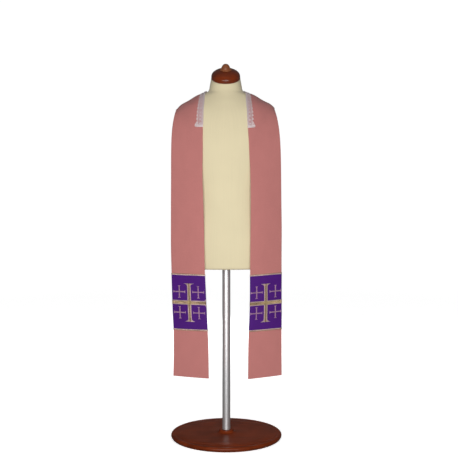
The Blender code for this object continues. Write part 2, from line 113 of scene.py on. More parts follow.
DRAPE_COLUMNS = (
    "left_inner_x", "left_outer_x", "right_inner_x", "right_outer_x",
    "inner_y", "inner_rise", "outer_y", "outer_rise", "bow", "right_tilt",
)
DRAPE = [
    (0.0000, 0.0000, 0.0000, 0.0000, 0.0930, -0.032, 0.1215, -0.160, 0, 0),
    (0.0450, 0.0810, 0.0430, 0.0790, 0.0790, -0.026, 0.1130, -0.130, 0, 0),
    (0.0720, 0.1520, 0.0670, 0.1480, 0.0480, -0.012, 0.0790, -0.096, 0, 0),
    (0.0810, 0.1965, 0.0715, 0.1870, 0.0060, -0.001, 0.0050, -0.074, 0, 0),
    (0.0832, 0.2060, 0.0742, 0.1990, -0.0400, -0.028, -0.0340, -0.090, 0.001, 0),
    (0.0895, 0.2140, 0.0808, 0.2081, -0.0800, -0.080, -0.0570, -0.130, 0.002, 0),
    (0.0925, 0.2191, 0.0853, 0.2145, -0.1045, -0.150, -0.0680, -0.182, 0.002, 0),
    (0.0928, 0.2211, 0.0902, 0.2185, -0.1135, -0.230, -0.0715, -0.250, 0.002, 0),
    (0.0938, 0.2218, 0.0960, 0.2205, -0.1155, -0.350, -0.0720, -0.358, 0.003, 0.001),
    (0.0888, 0.2224, 0.0970, 0.2222, -0.1150, -0.520, -0.0710, -0.523, 0.004, 0.003),
    (0.0858, 0.2222, 0.0952, 0.2230, -0.1145, -0.690, -0.0710, -0.690, 0.004, 0.005),
    (0.0798, 0.2168, 0.0943, 0.2232, -0.1150, -0.860, -0.0740, -0.860, 0.004, 0.0055),
    (0.0720, 0.2122, 0.0886, 0.2238, -0.1160, -1.010, -0.0790, -1.010, 0.003, 0.0055),
    (0.0697, 0.2150, 0.0872, 0.2250, -0.1165, -1.1585, -0.0840, -1.1545, 0.003, 0.0055),
]

# -------- sizes of the fine detail
HALF = CLOTH / 2  # the cloth's edges are round
TURN_UNDER = 0.0045  # how far what is sewn across the face goes round onto the back
LINING_INSET = TURN_UNDER + HALF  # on the back, the lining side stops this far inside the cloth's edges
LINING_STEP = 0.0004  # across the lining's folded edge, which stands LINING_LIFT proud
LINING_LIFT = 0.00035
STITCH = 0.0034  # from one of the stitches in the lining's edges to the next
STITCH_PATH = [  # inward from the lining's edge, up, and lift
    (-0.0009, -0.0007, 0.0001), (-0.0002, -0.0002, 0.0005),
    (0.0006, 0.0003, 0.0007), (0.0013, 0.0008, 0.0003),
]
SWAY = 0.0022  # the most that the hanging ends stand out in slow waves
SWAY_STARTS = 0.86  # above the hem, where the ends leave the chest
SWAY_FADE = 0.25  # the length over which the waves grow
SWAY_PHASE = {LEFT: 0.7, RIGHT: 2.9}
PANEL_STEP = 0.004  # of the panel's mesh
UNDER_BRAID = 0.0025
PUCKER = 0.00010
SATIN = 0.0005
BRAID_STEP = 0.0004  # of the braid's mesh
BRAID_GROOVE = 0.46  # the groove between the braid's two ribs, as a share of its width
BRAID_RISE = 0.00085
BRAID_TWIST = (0.0017, 0.0026)  # pitch of the cords' twist, along the braid and across it
THREAD = 0.00062  # pitch of the gold thread
COUCHING = (0.0011, 0.0033)  # pitch of the couched threads, and of the stitches that tie them down
TIE = 0.09  # half width of a tie, as a share of their pitch
SATIN_RELIEF = (0.00025, 0.00050, 0.00013)  # base, crown and threads
FIELD_RELIEF = (0.00042, 0.00016, 0.00018)  # base, threads, and how deep the ties draw them
SQUARE_RELIEF = (0.00100, 0.00014, 0.00015)
SQUARE_EDGE = 0.0006
GOLD_EDGE = 0.00002  # what is left of the height at a bar's edges

CROSS_ARM_UP = 0.0773
CROSS_BAR = 0.0170
CROSS_UPRIGHT = 0.0150  # the upright bar looks a little narrower than the level one
CROSS_SERIF = 0.043
CROSS_DROP = {LEFT: 0.0011, RIGHT: 0.0022}  # from the panel's middle down to the cross's
CROSS_MIDDLE = 0.4935  # the cross's place across the panel, as a share of the width from the neck edge
CROSS_FLARE = 0.011
CROSS_SWEEP = 2.6
CROSS_BORDER = 0.0041
CROSS_TURNED = 0.003  # how far the level bar goes on across the back
LEVEL_BORDER = 0.0032
LEVEL_SERIF = 0.8  # size of the level bar's serif to the upright's
LEVEL_SHORT = 0.0006  # the serif stops this far inside the neck edge
CROSSLET_ARM = 0.0250
CROSSLET_BAR = 0.0046
CROSSLET_SERIF = 0.0136
CROSSLET_FLARE = 0.0065
CROSSLET_BORDER = 0.0016
CROSSLET_SQUARE = 0.00506
CROSSLET_ACROSS = 0.0400
CROSSLET_UP = 0.0420

LACE_LIFT = 0.0007
LACE_PAINTED_SHADE = (0.32, 0.20)  # places along the lace, from the seam, where its painted shade starts and is full
LACE_CORDS = [  # of the tape at the neck: place down, and half width
    (0.0004, 0.00075), (0.0022, 0.00045), (0.0040, 0.00045), (0.0060, 0.00055),
]
CORD_FLATNESS = 0.8
LOOP_PITCH = 0.0019  # of the tape's openwork and of the picots
NET_TOP = 0.0066
NET_SIZE = 0.00115  # side of the net's hexagons
WHEEL_DOWN = 0.0124  # from the neck edge to the middles of the wheels
WHEEL = (0.0052, 0.0044)  # half sizes along and down, as are the next four
WHEEL_HOLE = (0.0050, 0.0042)
HUB = (0.0010, 0.0009)
EYES = ((0.0008, 0.0022), (0.0021, 0.0038))  # between one wheel and the next
PICOT = (0.00070, 0.00080)
PROUD = 0.0002  # how far the wheels and cords stand above the net
DISH = 0.07  # how much lower a wider ring of a rosette lies
SCALLOP_CORDS = ((0.0006, 0.00055), (0.0019, 0.00032))  # place in from the edge, half width
SCALLOP_RINGS = (0.0008, 0.0019, 0.0030)
CORDED = 0.12  # how much the cords swell and narrow
ROSETTES = [  # place down, stretch along the lace, and radii
    (LACE_WIDTH - 0.0012, 1.75, (0.0009, 0.0024, 0.0039, 0.0054, 0.0069)),
    (LACE_WIDTH * 0.46, 1.2, (0.0008, 0.0021, 0.0033)),
    (LACE_WIDTH * 0.17, 1.0, (0.0008, 0.0021, 0.0033)),
]
SHOULDER_RIB = 3

FORM_BEND = 0.010  # radius of the torso's lower edge
FORM_FINE_FROM = -0.06  # above this the torso's mesh is finer
FORM_AROUND = 0.15  # metres of jersey to a radian
SEAM = (-0.0006, 0.007)  # height and half width of the seams' groove
WELT = (0.0003, 0.015, 0.008)  # height of the swelling beside it, its place and its half width

# -------- steps, finishes and camera
DOUBLED = 1e-6  # points closer than this are one
PROBE = 0.0005  # step for the slope of the form's surface
PUSHES = 8
FINE_RIBS = 1600
NEARBY = 0.02  # step for the slope of the stole's surface, in ribs and in shares of its width
CLOTH_ROW, FORM_ROW, FORM_FINE_ROW = 0.006, 0.006, 0.0025
BACK_COLUMNS, EDGE_COLUMNS, FACE_COLUMNS = 10, 6, 26

METAL = {"roughness": 0.36, "metallic": 0.5, "specular_ior_level": 0.3}
STITCH_LEAN = 0.7  # how far the gold's stitches lean
PAINTED_GLINT_SPAN = (0.02, 0.06)  # out from the crossing, where the painted glints at the level bar's far end begin and are full
BAR_NEAR = (-0.006, -0.040)  # the same for its duller end, by the neck edge
LOOP_WIDTH, LOOP_HEIGHT = 0.0011, 0.0010  # of the jersey's knitting

PAPER_GLOW_AND_PAINTED_SHADE = (0.8, 2.6, 0.66, 0.88)  # distances from the origin, and the glow at each; the lower glow near the stand paints a pool of shade round it

PHOTO_WIDTH = 458
PIXEL = 0.0041  # metres to a pixel of the photo, at the distance CAMERA_AWAY
CAMERA_X = 0.011
CAMERA_AWAY = 4.0
CAMERA_HEIGHT = NECK_POINT - 0.274
CAMERA_PITCH = math.radians(4.121)


# -------- smooth curves through tables
def hermite(knots, values, at, level_start=False):
    """The smooth curve through values at the knots, read at an array of places."""
    slopes = np.empty(len(knots))
    slopes[1:-1] = (values[2:] - values[:-2]) / (knots[2:] - knots[:-2])
    slopes[0] = 0 if level_start else (values[1] - values[0]) / (knots[1] - knots[0])
    slopes[-1] = (values[-1] - values[-2]) / (knots[-1] - knots[-2])
    i = np.clip(np.searchsorted(knots, at, side="right") - 1, 0, len(knots) - 2)
    width = knots[i + 1] - knots[i]
    u = (at - knots[i]) / width
    start = values[i] * (2 * u**3 - 3 * u**2 + 1) + slopes[i] * width * (u**3 - 2 * u**2 + u)
    return start + values[i + 1] * (3 * u**2 - 2 * u**3) + slopes[i + 1] * width * (u**3 - u**2)


FORM_VALUES = dict(zip(FORM_COLUMNS, np.array(FORM[::-1]).T))
FORM_LOW, FORM_HIGH = FORM_VALUES["rise"][[0, -1]]
DRAPE_VALUES = dict(zip(DRAPE_COLUMNS, np.array(DRAPE).T))
RIBS = np.arange(len(DRAPE), dtype=float)


def form_size(rise, name):
    return hermite(FORM_VALUES["rise"], FORM_VALUES[name], np.clip(rise, FORM_LOW, FORM_HIGH))


def form_middle(rise):
    """The x of the form's middle: the neck's, and below it the torso's."""
    return -NECK_LEAN * np.clip((rise - LEAN_FROM) / LEAN_OVER, 0.0, 1.0)


def form_level(points):
    """Below 1 inside the dress form, 1 on its surface and above 1 outside."""
    x, y, z = points.T
    rise = z - NECK_POINT
    n = form_size(rise, "squareness")
    depth = np.where(y < 0, form_size(rise, "front"), form_size(rise, "back"))
    share = np.abs(x - form_middle(rise)) / form_size(rise, "half_width")
    return (share**n + (np.abs(y) / depth) ** n) ** (1 / n)


def clear_of_form(points):
    """The points, with those that lie in the dress form pushed out to its surface."""
    points = points.copy()
    moving = np.arange(len(points))
    for _ in range(PUSHES):
        p = points[moving]
        rises = [form_level(p + step) - form_level(p - step) for step in np.eye(3) * PROBE]
        slope = np.stack(rises, 1) / (2 * PROBE)
        length = np.linalg.norm(slope, axis=1)
        short = CLEARANCE - (form_level(p) - 1) / length
        move = short > 0
        points[moving[move]] = p[move] + slope[move] * (short[move] / length[move])[:, None]
        moving = moving[move]
        if not len(moving):
            break
    return points


# -------- the stole's surface
def underside(side, rib, across):
    """Points of a half's underside: across is 0 at the neck edge and 1 at the outer edge."""
    word = WORDS[side]
    size = {name: hermite(RIBS, values, rib, name.endswith("_y")) for name, values in DRAPE_VALUES.items()}
    tilt = size["right_tilt"] / 2 * (side == RIGHT)
    inner_z = NECK_POINT + size["inner_rise"] - tilt
    outer_z = NECK_POINT + size["outer_rise"] + tilt
    inner = np.stack([side * size[f"{word}_inner_x"], size["inner_y"], inner_z], 1)
    outer = np.stack([side * size[f"{word}_outer_x"], size["outer_y"], outer_z], 1)
    points = inner + (outer - inner) * across[:, None]
    points[:, 1] -= size["bow"] * 4 * across * (1 - across)
    points = clear_of_form(points)
    points[:, 0] += side * GAP / 2 * (rib < 0.001)  # at the seam the halves lie a gap apart
    return points


def unit(vectors):
    return vectors / np.linalg.norm(vectors, axis=1)[:, None]


def measure(side):
    """Tables along a half: length from the hem, width, and length of the neck edge from the seam."""
    ribs = np.linspace(0, len(DRAPE) - 1, FINE_RIBS)
    line = {across: underside(side, ribs, np.full(len(ribs), across)) for across in (0.0, 0.5, 1.0)}

    def length(across):
        steps = np.linalg.norm(np.diff(line[across], axis=0), axis=1)
        return np.concatenate([[0], np.cumsum(steps)])

    middle = length(0.5)
    width = np.linalg.norm(line[1.0] - line[0.0], axis=1)
    return {"ribs": ribs, "up": middle[-1] - middle, "width": width, "edge": length(0.0), "neck": line[0.0]}


HALVES = {side: measure(side) for side in (LEFT, RIGHT)}


def rib_at(side, up):
    """The rib that crosses a half's middle line this far above the hem."""
    table = HALVES[side]
    return np.interp(up, table["up"][::-1], table["ribs"][::-1])


def width_at(side, rib):
    return np.interp(rib, HALVES[side]["ribs"], HALVES[side]["width"])


def sway(side, rib, across):
    """The slow waves in which the ends hang, as a distance out from the form."""
    up = np.interp(rib, HALVES[side]["ribs"], HALVES[side]["up"])
    free = np.clip((SWAY_STARTS - up) / SWAY_FADE, 0, 1)
    free = free * free * (3 - 2 * free)
    phase = SWAY_PHASE[side]
    wave = np.sin(up * 15.2 + across * 2.3 * side + phase)
    wave += 0.5 * np.sin(up * 31.0 - across * 4.1 + 2 * phase)
    return SWAY * free * (0.5 + wave / 3)


def on_half(side, rib, out, lift=0.0, radius=HALF):
    """Points above a half's face. Radius is half the cloth's thickness there, which shrinks at both ends."""
    rib, out, lift, radius = (a.ravel() for a in np.broadcast_arrays(rib, out, lift, radius))
    rib, out = np.asarray(rib, float), np.asarray(out, float)
    width = width_at(side, rib)
    from_edge = np.minimum(out, width - out)
    edge_side = np.where(out < width - out, -1.0, 1.0)
    turn = np.clip((radius - from_edge) / np.maximum(radius, 1e-9), 0, math.pi)
    behind = np.maximum(0, radius - math.pi * radius - from_edge)
    inset = np.where(turn > 0, radius + behind, from_edge)
    across = np.clip(np.where(edge_side < 0, inset, width - inset) / width, 0, 1)

    low, high = np.maximum(rib - NEARBY, 0), np.minimum(rib + NEARBY, len(DRAPE) - 1)
    along = underside(side, high, across) - underside(side, low, across)
    left, right = np.maximum(across - NEARBY, 0), np.minimum(across + NEARBY, 1)
    sideways = underside(side, rib, right) - underside(side, rib, left)
    normal = unit(np.cross(sideways, along) * -side)
    reach = radius + lift
    points = underside(side, rib, across) + normal * (HALF + sway(side, rib, across))[:, None]
    points += normal * (np.cos(turn) * reach)[:, None]
    points += unit(sideways) * (edge_side * np.sin(turn) * reach)[:, None]
    return points


# -------- meshes
def spaced(start, end, step):
    return np.linspace(start, end, max(2, round(abs(end - start) / step) + 1))


def grid(*arrays):
    """Points or places from an array for each coordinate, spread over one another's rows and columns."""
    return np.stack(np.broadcast_arrays(*arrays), -1)


def new_object(name, mesh, finish):
    obj = bpy.data.objects.new(name, mesh)
    bpy.context.scene.collection.objects.link(obj)
    for one in finish if isinstance(finish, (list, tuple)) else [finish]:
        mesh.materials.append(one)
    mesh.shade_smooth()
    return obj


def new_mesh(name, points, faces, finish, uv=None):
    """An object from points and four-cornered faces. Uv is the place on the cloth of each face's corners."""
    mesh = bpy.data.meshes.new(name)
    mesh.from_pydata(points.tolist(), [], faces.tolist())
    if uv is not None:
        mesh.uv_layers.new(name="cloth").data.foreach_set("uv", uv.astype(np.float32).ravel())
    return new_object(name, mesh, finish)


def quads(rows, cols, around):
    """Corner numbers of the faces between rows of points; around joins each row's last point to its first."""
    i, j = np.meshgrid(np.arange(rows - 1), np.arange(cols if around else cols - 1), indexing="ij")
    row, j = i.ravel() * cols, j.ravel()
    beside = (j + 1) % cols
    return np.stack([row + j, row + beside, row + cols + beside, row + cols + j], 1)


def skin(name, points, uv, finish, around=False, zone=None, flip=False):
    """A mesh from a grid of points. Uv is two arrays of places in metres, and zone numbers the finish of
    each row and column of faces."""
    uv = grid(*uv)
    rows, cols = uv.shape[0], points.shape[0] // uv.shape[0]
    faces = quads(rows, cols, around)
    i, j = np.divmod(np.arange(len(faces)), cols if around else cols - 1)
    corners = np.stack([uv[i, j], uv[i, j + 1], uv[i + 1, j + 1], uv[i + 1, j]], 1)
    if flip:
        faces, corners = faces[:, ::-1], corners[:, ::-1]
    obj = new_mesh(name, points, faces, finish, corners)
    if zone is not None:
        zones = np.broadcast_to(zone, (i[-1] + 1, j[-1] + 1))[i, j]
        obj.data.polygons.foreach_set("material_index", zones.astype(np.int32))
    return obj


def weld(obj, edit=None, sharp=None):
    """Joins a mesh's doubled points. A closed solid is then edited, its faces are turned outward, and its
    edges above the angle sharp, in degrees, stay sharp."""
    mesh = obj.data
    bm = bmesh.new()
    bm.from_mesh(mesh)
    bmesh.ops.remove_doubles(bm, verts=bm.verts, dist=DOUBLED)
    if edit:
        edit(bm)
    if sharp:
        bmesh.ops.recalc_face_normals(bm, faces=bm.faces)
    bm.to_mesh(mesh)
    bm.free()
    if sharp:
        mesh.shade_smooth()
        mesh.set_sharp_from_angle(angle=math.radians(sharp))
    return obj


def join(name, parts):
    """One piece from several."""
    bm = bmesh.new()
    finishes = []
    for part in parts:
        finishes += [m for m in part.data.materials if m not in finishes]
        first = len(bm.faces)
        bm.from_mesh(part.data)
        bm.faces.ensure_lookup_table()
        numbers = [finishes.index(m) for m in part.data.materials]
        for face in bm.faces[first:]:
            face.material_index = numbers[face.material_index]
        bpy.data.objects.remove(part)
    mesh = bpy.data.meshes.new(name)
    bm.to_mesh(mesh)
    bm.free()
    return new_object(name, mesh, finishes)


def place(obj, slot, *nodes):
    """Puts a piece on the part's one body, in place of the CAD nodes that it stands for."""
    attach(obj, "root")
    if nodes:
        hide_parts(*nodes)
    return obj


# -------- finishes
class Value:
    """A number in a finish's shader. Arithmetic on it adds Math nodes."""

    def __init__(self, finish, socket):
        self.finish, self.socket = finish, socket

    def math(self, operation, *others):
        return self.finish.value("Math", enumerate((self, *others)), operation=operation)

    __add__ = partialmethod(math, "ADD")
    __sub__ = partialmethod(math, "SUBTRACT")
    __mul__ = partialmethod(math, "MULTIPLY")
    __truediv__ = partialmethod(math, "DIVIDE")

    def __rsub__(self, other):
        return self.finish.value("Math", {0: other, 1: self}, operation="SUBTRACT")

    def spread(self, low, high, first=0.0, last=1.0):
        """The value stretched so that low becomes first and high becomes last."""
        return self.finish.value("MapRange", {0: self, 1: low, 2: high, 3: first, 4: last})


class Finish:
    """A material in the making. The constants are the shader's own sockets."""

    def __init__(self, name, **constants):
        self.material = bpy.data.materials.new(name)
        self.material.use_nodes = True
        self.tree = self.material.node_tree
        self.inputs = self.tree.nodes["Principled BSDF"].inputs
        self.normal = None
        for key, value in constants.items():
            self.inputs[key.replace("_", " ").title().replace("Ior", "IOR")].default_value = value

    def node(self, kind, inputs=(), **settings):
        """The outputs of a new node, whose inputs are values or other nodes' outputs."""
        made = self.tree.nodes.new("ShaderNode" + kind)
        for key, value in settings.items():
            setattr(made, key, value)
        for key, value in dict(inputs).items():
            value = value.socket if isinstance(value, Value) else value
            if isinstance(value, bpy.types.NodeSocket):
                self.tree.links.new(value, made.inputs[key])
            else:
                made.inputs[key].default_value = value
        return made.outputs

    def value(self, kind, inputs=(), output=0, **settings):
        return Value(self, self.node(kind, inputs, **settings)[output])

    def vector(self, operation, inputs):
        return self.node("VectorMath", inputs, operation=operation)[0]

    def set(self, name, value):
        self.tree.links.new(value.socket if isinstance(value, Value) else value, self.inputs[name])

    def place(self, *scale):
        """The place on the cloth times two scales, or the place on the object times three."""
        if len(scale) == 2:
            where, scale = self.node("UVMap", uv_map="cloth")["UV"], (*scale, 1)
        else:
            where = self.node("TexCoord")["Object"]
        return self.node("Mapping", {"Vector": where, "Scale": scale})["Vector"]

    def xy(self):
        """The two coordinates of the place on the cloth, in metres."""
        where = self.node("SeparateXYZ", {0: self.place(1, 1)})
        return Value(self, where[0]), Value(self, where[1])

    def noise(self, scale, detail, roughness=0.5):
        inputs = {"Vector": self.place(*scale), "Scale": 1.0, "Detail": detail, "Roughness": roughness}
        return self.value("TexNoise", inputs, "Fac")

    def paint(self, tone, dark, light):
        """The base colour, from dark where the tone is 0 to light where it is 1."""
        colors = {0: tone, 6: (*dark, 1), 7: (*light, 1)}
        self.set("Base Color", self.node("Mix", colors, data_type="RGBA")[2])

    def bump(self, height, distance):
        """Relief, on top of what the finish already has."""
        inputs = {"Height": height, "Distance": distance, "Strength": 1.0}
        if self.normal is not None:
            inputs["Normal"] = self.normal
        self.normal = self.node("Bump", inputs)["Normal"]
        self.set("Normal", self.normal)


def shade(color, by):
    return tuple(min(1.0, c * by) for c in color)


def woven(name, color, pitch, skew=0.0, slub=0.10, mottle=0.06, handled=0.0, **constants):
    """Woven cloth: a pillow wherever one thread passes over another, with the crevices between pillows
    painted darker as painted shade, thicker and thinner yarns both ways, and a slow change of tone. The
    amount of painted neck shade is how much greyer lace is painted round the back of the neck than in front:
    painted shade."""
    finish = Finish(name, **constants)
    x, y = finish.xy()
    warp, weft = x / (pitch / math.pi), y / (pitch / math.pi)
    if skew:
        warp = warp + weft * skew
    weave_and_shade = (warp.math("SINE") * weft.math("SINE")).math("ABSOLUTE")
    yarn = finish.noise((1500, 14), 1) * slub + finish.noise((18, 1300), 1) * slub
    # the weave term paints the crevices between the thread pillows darker than their tops: painted shade
    tone = yarn + finish.noise((22, 13), 3) * (mottle * 2) + weave_and_shade * 0.25
    # painted shade: lace is painted greyer round the back of the neck and lighter in front
    if handled:
        tone = tone + (0.5 - x.math("ABSOLUTE").spread(*LACE_PAINTED_SHADE)) * handled
    middle = slub + mottle + handled / 2 + 0.1
    finish.paint(tone.spread(0, 2 * middle), shade(color, 1 - middle), shade(color, 1 + middle))
    finish.bump(finish.noise((160, 120), 3), 0.00035)
    finish.bump(weave_and_shade + yarn, pitch * 0.30)
    return finish.material


def gold(name, color, deep, stitch, speckle, hollow=0.0, painted_glints=0.0, dull=0.0):
    """Metal thread: each stitch has its own tone and leans its own way, so some catch the light. Stitch is
    its size across and along. Hollow is how much deeper the middle of a bar is, dull how much deeper its near
    end is, and the amount of painted glints how much brighter some stitches at its far end are painted. Fine
    strands are painted darker in the dips of their bump: painted shade."""
    finish = Finish(name, **METAL)
    x, y = finish.xy()
    row = (x / stitch[0]).math("FLOOR")
    cell = finish.node("CombineXYZ", {0: row, 1: (y / stitch[1] + row * 0.5).math("FLOOR")})[0]
    chance = finish.node("TexWhiteNoise", {"Vector": cell}, noise_dimensions="2D")
    level = Value(finish, chance["Value"])
    patches = finish.noise((300, 300), 3, 0.7).spread(0.34, 0.66)
    strands_and_shade = finish.noise((2600, 2600), 1)
    # the fine strands' tone follows their bump, painted darker in the dips: painted shade
    tone = level * (0.7 - speckle) + patches * speckle + strands_and_shade * 0.3
    if hollow:
        off_middle = x.math("ABSOLUTE") / (CROSS_UPRIGHT / 4)
        tone = tone - (1.0 - off_middle.math("MINIMUM", 1.0)) * hollow
    # painted glints: some stitches at the level bar's far end are painted brighter
    if painted_glints:
        tone = tone + y.spread(*PAINTED_GLINT_SPAN) * level.math("GREATER_THAN", 0.62) * painted_glints
    if dull:
        tone = tone - y.spread(*BAR_NEAR) * dull
    finish.paint(tone.spread(0.05, 0.95), deep, color)
    lean = finish.vector("SUBTRACT", {0: chance["Color"], 1: (0.5, 0.5, 0.5)})
    lean = finish.vector("SCALE", {0: lean, "Scale": STITCH_LEAN})
    facing = finish.vector("ADD", {0: finish.node("NewGeometry")["Normal"], 1: lean})
    finish.normal = finish.vector("NORMALIZE", {0: facing})
    finish.bump(strands_and_shade, 0.00008)
    return finish.material


def wood(name, color, dark, **constants):
    """Stained wood under lacquer: grain drawn out along x, fine pores, and stain that has pooled."""
    finish = Finish(name, **constants)
    rings = finish.noise((5, 62, 62), 4, 0.6).spread(0.3, 0.7)
    pooled = finish.noise((14, 20, 20), 3).spread(0.3, 0.7)
    pores = finish.noise((80, 1300, 1300), 2).spread(0.56, 0.75)
    tone = rings * 0.55 + pooled * 0.45 - pores * 0.30
    finish.paint(tone, dark, color)
    finish.bump(tone, 0.00006)
    return finish.material


def jersey(name, color):
    """Fine knitted jersey: columns of small loops, stretched smooth, on slow swells. Its tone is partly
    random and partly painted shade, lighter on the swells and the loops' rises and darker in their dips.
    """
    finish = Finish(name, roughness=0.82, sheen_weight=0.25, sheen_roughness=0.5)
    x, y = finish.xy()
    lean = (x * (math.pi / LOOP_WIDTH)).math("SINE").math("ABSOLUTE") * 3.2
    course = y * (math.pi * 2 / LOOP_HEIGHT) + lean
    loops = (course.math("SINE") + 1.0) * 0.5
    slow = finish.noise((7, 6), 4)
    # painted shade: the tone follows the slow swells and the loops, darker in their dips
    tone = slow * 0.5 + finish.noise((420, 4), 2) * 0.3 + loops * 0.04
    finish.paint(tone, shade(color, 0.86), shade(color, 1.08))
    finish.bump(slow, 0.0015)
    finish.bump(loops, 0.00003)
    return finish.material


def brushed_steel(name):
    finish = Finish(name, roughness=0.45, metallic=0.8)
    lines, marks = finish.noise((60, 60, 2600), 2), finish.noise((9, 9, 6), 4)
    finish.paint(lines * 0.6 + marks * 0.4, (0.50, 0.50, 0.51), (0.80, 0.80, 0.80))
    finish.set("Roughness", lines.spread(0.2, 0.8, 0.34, 0.54))
    finish.bump(lines, 0.00002)
    return finish.material


# -------- the stole's cloth
def lay(side, name, points, uv, finish, turned=False, **more):
    """A skin on a half, facing out. A turned one's rows of points run up the half, and others' across it."""
    return skin(name, points, uv, finish, flip=(side == LEFT) != turned, **more)


def behind(width, inward):
    """The out that lies on the back of the cloth, this far in from the neck edge."""
    turned = (math.pi - 2) * HALF
    return np.where(inward < width / 2, -turned - inward, width + turned + width - inward)


def round_cloth(width, radius):
    """Places out, once round the cloth from the middle of its back, for rows of these widths and radii. The
    first and the last BACK_COLUMNS are on the lining."""
    w, r = width[:, None], radius[:, None]
    plain = w / 2 - r
    fold = TURN_UNDER + LINING_STEP
    back = fold + (plain - fold) * np.linspace(1, 0, BACK_COLUMNS)
    inward = np.hstack([back, np.full(r.shape, TURN_UNDER)])
    return np.hstack([
        r - math.pi * r - inward,
        r - r * np.linspace(math.pi, 0, EDGE_COLUMNS, endpoint=False),
        r + 2 * plain * np.linspace(0, 1, FACE_COLUMNS),
        w - r + r * np.linspace(0, math.pi, EDGE_COLUMNS + 1)[1:],
        w - r + math.pi * r + inward[:, ::-1],
    ])


def make_half(side, word, finishes):
    """The cloth of one half: folded round its edges, and rounded at the hem and at the seam in the back. Its
    back is the lining side, whose edge is folded in and stands a little proud. Finishes are the face's and
    the lining's."""
    top = HALVES[side]["up"][0]
    ends = HALF * np.array([0.0, 0.08, 0.3, 0.65])
    rows = spaced(LINING_INSET + LINING_STEP, top - HALF, CLOTH_ROW)
    up = np.concatenate([ends, [HALF, LINING_INSET], rows, (top - ends)[::-1]])
    radius = np.sqrt(HALF**2 - (HALF - np.minimum(HALF, np.minimum(up, top - up))) ** 2)
    rib = rib_at(side, up)
    out = round_cloth(width_at(side, rib), radius)
    lined = np.zeros(out.shape[1])
    lined[:BACK_COLUMNS] = lined[-BACK_COLUMNS:] = 1
    raised = (up > LINING_INSET + LINING_STEP / 2) & (up < top - HALF / 2)
    lift = LINING_LIFT * raised[:, None] * lined
    points = on_half(side, rib[:, None], out[:, :-1], lift[:, :-1], radius[:, None])
    zone = np.maximum(lined[:-1], lined[1:]) * (up[:-1, None] > LINING_INSET - LINING_STEP / 2)
    uv = (out, up[:, None])
    return weld(lay(side, f"stole_{word}_cloth", points, uv, finishes, around=True, zone=zone))


def across_face(width, step):
    """Places out across the face and round both edges onto the back, for rows of these widths."""
    w = width[:, None]
    edge = np.concatenate([[HALF - math.pi * HALF - TURN_UNDER], np.linspace(HALF - math.pi * HALF, HALF, 9)])
    inner = np.broadcast_to(edge, (len(width), len(edge)))
    plain = np.linspace(0, 1, max(3, round(float(width.mean()) / step)) + 1)[1:-1]
    return np.hstack([inner, HALF + (w - 2 * HALF) * plain, w - inner[:, ::-1]])


def make_panel(side, word, finish):
    """The purple panel, drawn a little tight by the stitching, with its edges folded onto the back."""
    low, high = HEM_TO_PANEL + BRAID_WIDTH, HEM_TO_PANEL + PANEL_HEIGHT - BRAID_WIDTH
    up = spaced(low - UNDER_BRAID, high + UNDER_BRAID, PANEL_STEP)
    rib = rib_at(side, up)
    width = width_at(side, rib)[:, None]
    out = across_face(width[:, 0], PANEL_STEP)
    u, v = out - width / 2, (up - (low + high) / 2)[:, None]
    ripple = np.sin(u * 210 + 3 * np.sin(v * 60)) * np.sin(v * 170 + u * 35 + side)
    by_braid = np.exp(-((np.abs(v) - 0.104) / 0.006) ** 2)
    ripple += 0.7 * np.sin(v * 420 + 2 * np.sin(u * 90)) * by_braid
    near_edge = np.clip(np.minimum(out, width - out) / 0.01, 0, 1)
    points = on_half(side, rib[:, None], out, GAP + PUCKER * near_edge * (1 + ripple))
    panel = lay(side, f"panel_{word}_satin", points, (out, up[:, None]), finish)
    wall = panel.modifiers.new("wall", "SOLIDIFY")
    wall.thickness = SATIN
    wall.offset = 1.0
    return panel


# -------- gold work
def make_braid(side, word, which, finishes):
    """A narrow braid that covers the panel's raw edge: a pale corded rib beside the purple, and a tan one."""
    lower = which == "bottom"
    start = HEM_TO_PANEL + (0 if lower else PANEL_HEIGHT - BRAID_WIDTH)
    groove = BRAID_GROOVE if lower else 1 - BRAID_GROOVE
    share = np.concatenate([np.linspace(0, groove, 9), np.linspace(groove, 1, 9)[1:]])[:, None]
    first = share <= groove
    tan = (np.arange(len(share) - 1) < 9) == lower
    rib = rib_at(side, start + BRAID_WIDTH * share[:, 0])
    out = across_face(width_at(side, rib), BRAID_STEP)
    across = np.where(first, share / groove, (share - groove) / (1 - groove)) * 2 - 1
    cord = BRAID_RISE * np.sqrt(np.clip(1 - across**2, 0, 1))
    turn = out / BRAID_TWIST[0] + np.where(first, 1.0, -1.0) * BRAID_WIDTH * share / BRAID_TWIST[1]
    lift = 0.0001 + cord + 0.00022 * np.abs(np.sin(math.pi * turn)) * (cord > 0.0002)
    over_panel = 0.5 + 0.5 * (share if lower else 1 - share)
    lift = lift + PANEL_CLOTH * over_panel * (cord > 0.0001)
    points = on_half(side, rib[:, None], out, lift)
    uv = (out, BRAID_WIDTH * share)
    return lay(side, f"braid_{word}_{which}_gold", points, uv, finishes, zone=tan[:, None])


def even(start, end, step):
    """Places that are whole numbers of steps from 0, so that every thread is cut at the same places."""
    return np.arange(round(start / step), round(end / step) + 1) * step


def couched(along, across, base, rise, tied):
    """The height of couched threads, which rise above a base and are tied down by rows of small stitches."""
    row = np.floor(across / COUCHING[0])
    tie = (along / COUCHING[1] + 0.5 * (row % 2) + 0.5) % 1 - 0.5
    return base + rise * np.abs(np.sin(math.pi * across / COUCHING[0])) - tied * np.exp(-((tie / TIE) ** 2))


def on_panel(side, up, middle, x, y, height):
    """Points of gold work at x across and y up from its middle, which is up from the hem and a share out."""
    base = float(width_at(side, rib_at(side, up)))
    rib = rib_at(side, up + y)
    out = (middle + x / base) * width_at(side, rib)
    return on_half(side, rib, out, GAP + PANEL_CLOTH + height)


